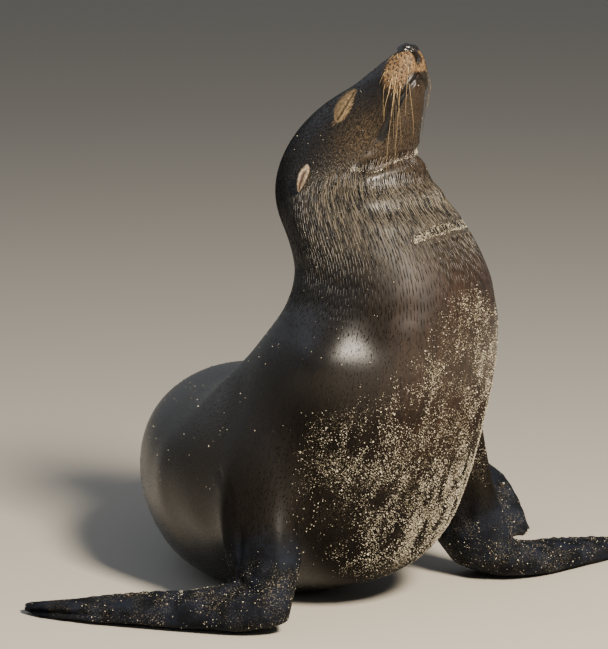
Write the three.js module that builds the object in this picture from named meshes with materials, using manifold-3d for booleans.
// A life-size museum model of a California sea lion, sitting upright with its
// head thrown back and its hindquarters curled round to its left. Millimetres, +Z up.
// The animal faces -Y, +X is its left, and z = 0 is the floor that it sits on.
// Flesh is modelled as lofts along centre lines, joined whole, and parted with thin cuts.
import * as THREE from "three";
import { mergeVertices } from "three/addons/utils/BufferGeometryUtils.js";
import Module from "manifold-3d";

const wasm = await Module();
wasm.setup();

const v = (x, y, z) => new THREE.Vector3(x, y, z);
const DEG = Math.PI / 180;

// ---- Driving dimensions ----
const GAP = 0.3; // between neighbouring pieces
const BIG = 4000; // side of a cutting block, larger than the animal
const HEAD_TILT = 51 * DEG; // how far the muzzle points above level
const NOSE = [0, -213, 640]; // the middle of the muzzle's front
const LEFT = [1, 0, 0];
const DOWN = v(0, 0, -1);

// Number of points round a loft, and of rings along it.
const HEAD_MESH = { sides: 26, steps: 16 };
const COLUMN_MESH = { sides: 26, steps: 18 };
const TRUNK_MESH = { sides: 26, steps: 17 };
const AXILLA_MESH = { sides: 14, steps: 6 };
const LIMB_MESH = { sides: 14, steps: 16 };
const TOE_MESH = { sides: 6, steps: 4 };
const SMALL_MESH = { sides: 8, steps: 6 };

// A place on the head: how far back from the nose, how far above the head's axis, and how
// far to the animal's left.
const onHead = (back, rise = 0, side = 0) => [
  NOSE[0] + side,
  NOSE[1] + back * Math.cos(HEAD_TILT) + rise * Math.sin(HEAD_TILT),
  NOSE[2] - back * Math.sin(HEAD_TILT) + rise * Math.cos(HEAD_TILT),
];

// The animal's left where the trunk has turned by so many degrees from the way it faces.
const leftAt = (turn) => [Math.cos(turn * DEG), -Math.sin(turn * DEG), 0];

// ---- Centre lines ----
// Each station has at, across (a direction to the animal's left, or to a flipper's leading
// edge) and size: half width, half depth above and half depth below.

const head = [
  { name: "nose", at: onHead(0, 7), across: LEFT, size: [12, 10, 12] },
  { name: "muzzle front", at: onHead(13, 4), across: LEFT, size: [20, 19, 18] },
  { name: "whisker pads", at: onHead(40), across: LEFT, size: [33, 30, 33] },
  { name: "muzzle root", at: onHead(78), across: LEFT, size: [42, 39, 58] },
  { name: "eyes", at: onHead(112), across: LEFT, size: [56, 54, 74] },
  { name: "cheeks", at: onHead(150, -2), across: LEFT, size: [70, 65, 91] },
  { name: "ears", at: onHead(196, -12), across: LEFT, size: [77, 70, 82] },
  { name: "back of the head", at: onHead(236, -34), across: LEFT, size: [66, 56, 58] },
  { name: "inside the neck", at: onHead(264, -48), across: LEFT, size: [30, 26, 30] },
];

// The neck and the upright chest, in level rings.
const column = [
  { name: "inside the head", at: [0, -126, 522], across: LEFT, size: [60, 54, 58] },
  { name: "throat", at: [0, -128, 500], across: LEFT, size: [80, 78, 82] },
  { name: "upper neck", at: [0, -134, 476], across: LEFT, size: [93, 93, 95] },
  { name: "neck", at: [0, -148, 450], across: LEFT, size: [102, 100, 103] },
  { name: "lower neck", at: [0, -168, 420], across: LEFT, size: [107, 104, 108] },
  { name: "collar", at: [0, -181, 385], across: LEFT, size: [112, 106, 111] },
  { name: "shoulders", at: [0, -176, 345], across: LEFT, size: [126, 116, 122] },
  { name: "chest", at: [0, -154, 290], across: LEFT, size: [145, 141, 138] },
  { name: "breast", at: [0, -137, 225], across: LEFT, size: [147, 142, 141] },
  { name: "brisket", at: [0, -118, 160], across: LEFT, size: [143, 136, 142] },
  { name: "belly front", at: [0, -106, 105], across: LEFT, size: [132, 122, 136] },
  { name: "underside", at: [0, -98, 56], across: LEFT, size: [104, 96, 112] },
  { name: "bottom", at: [0, -92, 26], across: LEFT, size: [60, 56, 66] },
];

// The trunk, from inside the chest back along the belly and round to the tail.
const trunk = [
  { name: "inside the chest", at: [0, -150, 190], across: LEFT, size: [110, 90, 110] },
  { name: "breast", at: [0, -114, 170], across: LEFT, size: [140, 126, 146] },
  { name: "belly", at: [-8, -50, 148], across: leftAt(-4), size: [141, 126, 150] },
  { name: "flank", at: [-6, 12, 132], across: leftAt(30), size: [133, 116, 139] },
  { name: "loins", at: [50, 82, 127], across: leftAt(50), size: [133, 113, 135] },
  { name: "waist", at: [128, 146, 124], across: leftAt(54), size: [126, 106, 132] },
  { name: "hips", at: [212, 198, 112], across: leftAt(64), size: [115, 98, 121] },
  { name: "pelvis", at: [300, 228, 90], across: leftAt(76), size: [94, 80, 99] },
  { name: "rump", at: [370, 240, 66], across: leftAt(86), size: [62, 54, 72] },
  { name: "tail root", at: [412, 242, 48], across: leftAt(92), size: [36, 27, 44] },
  { name: "tail", at: [450, 242, 26], across: leftAt(92), size: [21, 13, 24] },
  { name: "tail tip", at: [478, 242, 9], across: leftAt(92), size: [8, 5, 12] },
];

// Skin and muscle that fill the hollow behind each shoulder, down to the axilla.
const rightAxilla = [
  { name: "behind the shoulder", at: [-62, -72, 256], across: [0, -1, 0], size: [62, 50, 46] },
  { name: "flank top", at: [-84, -40, 206], across: [0, -1, 0], size: [72, 52, 52] },
  { name: "flank", at: [-104, -26, 160], across: [0, -1, 0], size: [80, 52, 52] },
  { name: "axilla", at: [-116, -34, 118], across: [0, -1, 0], size: [66, 44, 44] },
  { name: "behind the elbow", at: [-118, -48, 76], across: [0, -1, 0], size: [44, 30, 30] },
];

const leftAxilla = [
  { name: "behind the shoulder", at: [58, -80, 250], across: [0, -1, 0], size: [54, 48, 48] },
  { name: "flank top", at: [82, -66, 220], across: [0, -1, 0], size: [62, 54, 54] },
  { name: "flank", at: [98, -66, 168], across: [0, -1, 0], size: [62, 50, 50] },
  { name: "axilla", at: [110, -84, 116], across: [0, -1, 0], size: [50, 40, 40] },
  { name: "behind the elbow", at: [112, -100, 78], across: [0, -1, 0], size: [36, 26, 26] },
];

const rightForeflipper = [
  { name: "shoulder", at: [-84, -134, 268], across: [0, -1, 0], size: [62, 50, 50] },
  { name: "upper arm", at: [-122, -110, 200], across: [0, -1, 0], size: [58, 42, 42] },
  { name: "forearm", at: [-152, -108, 118], across: [-0.1, -1, 0], size: [54, 34, 34] },
  { name: "wrist", at: [-168, -138, 38], across: [-0.5, -1, 0], size: [58, 30, 34] },
  { name: "palm", at: [-198, -80, 19], across: [-1, -0.4, 0], size: [53, 21, 22] },
  { name: "hand", at: [-242, 5, 13], across: [-1, -0.45, 0], size: [45, 13, 15] },
  { name: "flap", at: [-278, 74, 8], across: [-1, -0.4, 0], size: [33, 7, 9] },
  { name: "tip", at: [-295, 121, 5], across: [-1, -0.3, 0], size: [9, 4, 6] },
];

const leftForeflipper = [
  { name: "shoulder", at: [88, -148, 262], across: [0, -1, 0], size: [62, 48, 48] },
  { name: "upper arm", at: [128, -150, 192], across: [0, -1, 0], size: [62, 38, 38] },
  { name: "forearm", at: [150, -162, 112], across: [0, -1, 0], size: [55, 30, 30] },
  { name: "wrist", at: [170, -180, 42], across: [0, -1, 0], size: [52, 28, 32] },
  { name: "palm", at: [222, -198, 18], across: [-0.2, -1, 0], size: [52, 20, 21] },
  { name: "hand", at: [308, -216, 12], across: [-0.2, -1, 0], size: [45, 13, 14] },
  { name: "flap", at: [388, -234, 8], across: [-0.3, -1, 0], size: [31, 7, 9] },
  { name: "tip", at: [434, -248, 5], across: [-0.4, -1, 0], size: [9, 4, 6] },
];

const leftHindflipper = [
  { name: "thigh", at: [330, 205, 82], across: [-1, 0.4, 0], size: [50, 40, 50] },
  { name: "shank", at: [392, 176, 64], across: [-1, -0.4, 0], size: [43, 32, 40] },
  { name: "ankle", at: [402, 112, 58], across: [-1, 0, 0], size: [37, 27, 36] },
  { name: "foot", at: [390, 34, 69], across: [-1, 0.05, 0], size: [45, 20, 24] },
  { name: "knuckles", at: [375, -24, 57], across: [-1, 0.1, 0], size: [51, 13, 15] },
  { name: "web", at: [363, -66, 25], across: [-1, 0.1, 0], size: [51, 8, 9] },
  { name: "web edge", at: [358, -86, 5], across: [-1, 0.1, 0], size: [45, 4, 7] },
];

const rightHindflipper = [
  { name: "thigh", at: [330, 268, 78], across: [0, -1, 0], size: [50, 40, 50] },
  { name: "shank", at: [404, 306, 54], across: [0.2, -1, 0], size: [42, 30, 38] },
  { name: "ankle", at: [474, 332, 36], across: [0.3, -1, 0], size: [36, 24, 32] },
  { name: "foot", at: [550, 346, 23], across: [0.1, -1, 0], size: [44, 16, 21] },
  { name: "knuckles", at: [614, 346, 14], across: [0, -1, 0], size: [50, 11, 14] },
  { name: "web", at: [664, 341, 9], across: [-0.1, -1, 0], size: [54, 7, 10] },
  { name: "web edge", at: [692, 337, 6], across: [-0.1, -1, 0], size: [48, 4, 7] },
];

// ---- Lofting ----

// A smooth curve through one value of every station.
function track(stations, pick) {
  const curve = new THREE.CatmullRomCurve3(stations.map(pick), false, "centripetal");
  return (t) => curve.getPoint(t);
}

// A closed skin over rings of points, capped by a fan at each end.
function skinOver(rings) {
  const sides = rings[0].length;
  const middle = (ring) => ring.reduce((sum, p) => sum.add(p), v(0, 0, 0)).divideScalar(sides);
  const points = [...rings.flat(), middle(rings[0]), middle(rings.at(-1))];
  const [first, last] = [points.length - 2, points.length - 1];
  const index = [];
  for (let i = 0; i < rings.length; i++)
    for (let j = 0; j < sides; j++) {
      const [a, b] = [i * sides + j, i * sides + ((j + 1) % sides)];
      if (i === 0) index.push(first, a, b);
      if (i === rings.length - 1) index.push(last, b, a);
      else index.push(a, b + sides, b, a, a + sides, b + sides);
    }
  const geometry = new THREE.BufferGeometry().setFromPoints(points);
  geometry.setIndex(index);
  return geometry;
}

// One ring of a loft: an oval that is a little square, round a centre.
function ring({ centre, side, top, size, sides, grow }) {
  const SQUARENESS = 2.1;
  const points = [];
  for (let j = 0; j < sides; j++) {
    const angle = (2 * Math.PI * j) / sides;
    const [c, s] = [Math.cos(angle), Math.sin(angle)];
    const deep = s > 0 ? size.y : size.z;
    const x = (size.x + grow) * Math.sign(c) * Math.abs(c) ** (2 / SQUARENESS);
    const y = (deep + grow) * Math.sign(s) * Math.abs(s) ** (2 / SQUARENESS);
    points.push(centre.clone().addScaledVector(side, x).addScaledVector(top, y));
  }
  return points;
}

// Rings along a line of stations. They stand square to the line, or to one fixed direction.
function loft(stations, { sides, steps }, { facing, grow = 0 } = {}) {
  const at = track(stations, (s) => v(...s.at));
  const across = track(stations, (s) => v(...s.across));
  const size = track(stations, (s) => v(...s.size));
  const line = new THREE.CatmullRomCurve3(stations.map((s) => v(...s.at)), false, "centripetal");
  const rings = [];
  for (let i = 0; i <= steps; i++) {
    const t = i / steps;
    const along = facing ?? line.getTangent(t);
    const side = across(t).addScaledVector(along, -across(t).dot(along)).normalize();
    const top = side.clone().cross(along);
    rings.push(ring({ centre: at(t), side, top, size: size(t), sides, grow }));
  }
  return solid(skinOver(rings));
}

// ---- Joining and cutting ----

function solid(geometry) {
  const bare = geometry.clone();
  bare.deleteAttribute("normal");
  bare.deleteAttribute("uv");
  const merged = mergeVertices(bare, 1e-3);
  const mesh = new wasm.Mesh({
    numProp: 3,
    vertProperties: new Float32Array(merged.attributes.position.array),
    triVerts: new Uint32Array(merged.index.array),
  });
  return new wasm.Manifold(mesh);
}

function geometryOf(manifold) {
  const { vertProperties, triVerts } = manifold.getMesh();
  const geometry = new THREE.BufferGeometry();
  geometry.setAttribute("position", new THREE.BufferAttribute(new Float32Array(vertProperties), 3));
  geometry.setIndex(new THREE.BufferAttribute(new Uint32Array(triVerts), 1));
  geometry.computeVertexNormals();
  return geometry;
}

// The half of space beyond a plane, as a block whose face lies on the plane.
function beyond({ at, normal }, shift = 0) {
  const block = new THREE.BoxGeometry(BIG, BIG, BIG);
  const direction = v(...normal).normalize();
  const turn = new THREE.Quaternion().setFromUnitVectors(v(0, 0, 1), direction);
  block.applyQuaternion(turn);
  const centre = v(...at).addScaledVector(direction, BIG / 2 + shift);
  block.translate(centre.x, centre.y, centre.z);
  return solid(block);
}

// The largest piece of a solid, without the crumbs that a cut can leave.
const largest = (manifold) => manifold.decompose().sort((a, b) => b.volume() - a.volume())[0];

// Both sides of a plane, half a gap away from it each.
function parted(manifold, plane) {
  const { at, normal } = plane;
  const back = { at, normal: normal.map((n) => -n) };
  return [
    largest(manifold.intersect(beyond(plane, GAP / 2))),
    largest(manifold.intersect(beyond(back, GAP / 2))),
  ];
}

const ABOVE_FLOOR = beyond({ at: [0, 0, 0], normal: [0, 0, 1] });

// ---- Flesh ----

const body = (grow) =>
  loft(head, HEAD_MESH, { grow })
    .add(loft(column, COLUMN_MESH, { facing: DOWN, grow }))
    .add(loft(trunk, TRUNK_MESH, { grow }))
    .add(loft(rightAxilla, AXILLA_MESH, { grow }))
    .add(loft(leftAxilla, AXILLA_MESH, { grow }));

// Five toes in a web: each runs on past the web's edge, the outer ones furthest.
const TOES = [
  { across: 0.84, reach: 19 },
  { across: 0.43, reach: 11 },
  { across: 0.0, reach: 8 },
  { across: -0.43, reach: 10 },
  { across: -0.84, reach: 16 },
];

function toe(stations, { across, reach }, grow) {
  const [knuckles, web, edge] = stations.slice(-3);
  const spread = (station, forward) => {
    const side = v(...station.across).normalize();
    const at = v(...station.at).addScaledVector(side, across * station.size[0]);
    return at.add(forward).toArray();
  };
  const onward = v(...edge.at).sub(v(...web.at)).setZ(0).normalize();
  const step = (length, drop) => onward.clone().multiplyScalar(length).setZ(drop);
  const line = [
    { at: spread(knuckles, v(0, 0, 1)), across: knuckles.across, size: [8, 12, 9] },
    { at: spread(web, v(0, 0, 1)), across: web.across, size: [9, 8.5, 9] },
    { at: spread(edge, v(0, 0, 0)), across: edge.across, size: [10, 5.5, 7] },
    { at: spread(edge, step(reach, -2)), across: edge.across, size: [7, 2.5, 5] },
  ];
  return loft(line, TOE_MESH, { grow });
}

const flipper = (stations) => (grow) => loft(stations, LIMB_MESH, { grow });
const foot = (stations) => (grow) =>
  TOES.reduce((whole, one) => whole.add(toe(stations, one, grow)), flipper(stations)(grow));

const solids = new Map();
let taken; // all that has been made so far, grown by the gap

// Makes a piece clear of all earlier ones, and keeps later ones clear of it.
function place(shape) {
  const whole = shape(0).intersect(ABOVE_FLOOR);
  const piece = taken ? largest(whole.subtract(taken)) : whole;
  const grown = shape(GAP);
  taken = taken ? taken.add(grown) : grown;
  return piece;
}

// The body is parted from the head down and back.
const BODY_CUTS = [
  { name: "head", at: [0, -222, 510], normal: [0, 0.345, 0.938] },
  { name: "neck", at: [0, -74, 372], normal: [0, -0.176, 0.984] },
  { name: "chest", at: [0, -22, 300], normal: [0, -0.989, -0.148] },
  { name: "belly", at: [105, 128, 130], normal: [-0.766, -0.643, 0] },
  { name: "hips", at: [402, 242, 50], normal: [-1, -0.05, 0] },
];
let rest = place(body);
for (const { name, at, normal } of BODY_CUTS) {
  const [piece, remainder] = parted(rest, { at, normal });
  solids.set(name, piece);
  rest = remainder;
}
solids.set("tail", rest);

const LIMBS = [
  { upper: "right_arm", lower: "right_foreflipper", shape: flipper(rightForeflipper),
    cut: { at: [-168, -132, 66], normal: [0, 0, 1] } },
  { upper: "left_arm", lower: "left_foreflipper", shape: flipper(leftForeflipper),
    cut: { at: [170, -180, 64], normal: [0, 0, 1] } },
  { upper: "left_shank", lower: "left_hindflipper", shape: foot(leftHindflipper),
    cut: { at: [402, 112, 58], normal: [0, 1, 0] } },
  { upper: "right_shank", lower: "right_hindflipper", shape: foot(rightHindflipper),
    cut: { at: [474, 332, 36], normal: [-0.94, -0.34, 0] } },
];
for (const { upper, lower, shape, cut } of LIMBS) {
  const [high, low] = parted(place(shape), cut);
  solids.set(upper, high);
  solids.set(lower, low);
}

// ---- Small pieces of the head ----

const small = (stations) => (grow) => loft(stations, SMALL_MESH, { grow });

// The nose pad caps the top of the muzzle's front.
const nosePad = [
  { at: onHead(-3, 8.5), across: LEFT, size: [6, 3, 4] },
  { at: onHead(0, 9), across: LEFT, size: [13, 8, 10] },
  { at: onHead(7, 11), across: LEFT, size: [16, 11.5, 9] },
  { at: onHead(17, 12), across: LEFT, size: [13, 10, 6] },
];

// A shut eye: a low almond swelling, its lids meeting in a line that slopes back and down.
const shutEye = (sign) => [
  { at: onHead(72, 22, sign * 27), across: [0, 0.6, 0.8], size: [3, 3, 3] },
  { at: onHead(80, 20, sign * 32), across: [0, 0.6, 0.8], size: [9, 7, 7] },
  { at: onHead(90, 17, sign * 38), across: [0, 0.6, 0.8], size: [12, 8, 8] },
  { at: onHead(99, 14, sign * 44), across: [0, 0.6, 0.8], size: [8, 6, 6] },
  { at: onHead(107, 12, sign * 48), across: [0, 0.6, 0.8], size: [3, 3, 3] },
];

// A small rolled ear that hangs back and down from its root.
const ear = (sign) => [
  { at: onHead(158, -2, sign * 68), across: [0, 1, 0], size: [4, 5, 5] },
  { at: onHead(162, -7, sign * 76), across: [0, 1, 0], size: [5.5, 4.5, 4.5] },
  { at: onHead(168, -12, sign * 83), across: [0, 1, 0], size: [6, 4, 4] },
  { at: onHead(176, -17, sign * 89), across: [0, 1, 0], size: [4.5, 3.2, 3.2] },
  { at: onHead(186, -22, sign * 92), across: [0, 1, 0], size: [1.5, 1.5, 1.5] },
];

solids.set("nose_pad", place(small(nosePad)));
for (const [name, sign] of [["right", -1], ["left", 1]]) {
  solids.set(`${name}_eye`, place(small(shutEye(sign))));
  solids.set(`${name}_ear`, place(small(ear(sign))));
}

// ---- Nails: the middle three toes of each hind foot, well back from the tips ----

function nail(stations, { across }) {
  const [knuckles, web] = stations.slice(-3);
  const side = v(...knuckles.across).normalize();
  const onward = v(...web.at).sub(v(...knuckles.at)).normalize();
  const up = v(0, 0, 1).addScaledVector(onward, -onward.z).normalize();
  const at = (forward, rise) =>
    v(...knuckles.at).addScaledVector(side, across * knuckles.size[0])
      .addScaledVector(onward, forward).addScaledVector(up, rise).toArray();
  const line = [
    { at: at(12, 10), across: knuckles.across, size: [2.2, 2, 3] },
    { at: at(17, 11), across: knuckles.across, size: [3.2, 3, 4] },
    { at: at(24, 10.5), across: knuckles.across, size: [3, 2.5, 4] },
    { at: at(30, 10), across: knuckles.across, size: [1.4, 1.4, 2] },
  ];
  return (grow) => loft(line, TOE_MESH, { grow });
}

for (const [name, stations] of [["left", leftHindflipper], ["right", rightHindflipper]])
  TOES.slice(1, 4).forEach((one, index) => {
    solids.set(`${name}_nail_${index + 2}`, place(nail(stations, one)));
  });

// ---- The model ----

const COLOURS = {
  flesh: { color: 0x2a231d, roughness: 0.35 },
  nose_pad: { color: 0x0d0c0c, roughness: 0.3 },
  eye: { color: 0x0f0a08, roughness: 0.1 },
  ear: { color: 0x9a8466, roughness: 0.6 },
  nail: { color: 0x1c1a19, roughness: 0.4 },
};

function materialFor(name) {
  const key = Object.keys(COLOURS).find((word) => name.includes(word)) ?? "flesh";
  return new THREE.MeshStandardMaterial({ ...COLOURS[key], metalness: 0 });
}

const group = new THREE.Group();
for (const [name, manifold] of solids) {
  const mesh = new THREE.Mesh(geometryOf(manifold), materialFor(name));
  mesh.name = name;
  group.add(mesh);
}

// The origin is the middle of the footprint, on the floor.
const middle = new THREE.Box3().setFromObject(group).getCenter(v(0, 0, 0));
group.position.set(-middle.x, -middle.y, 0);

export default group;
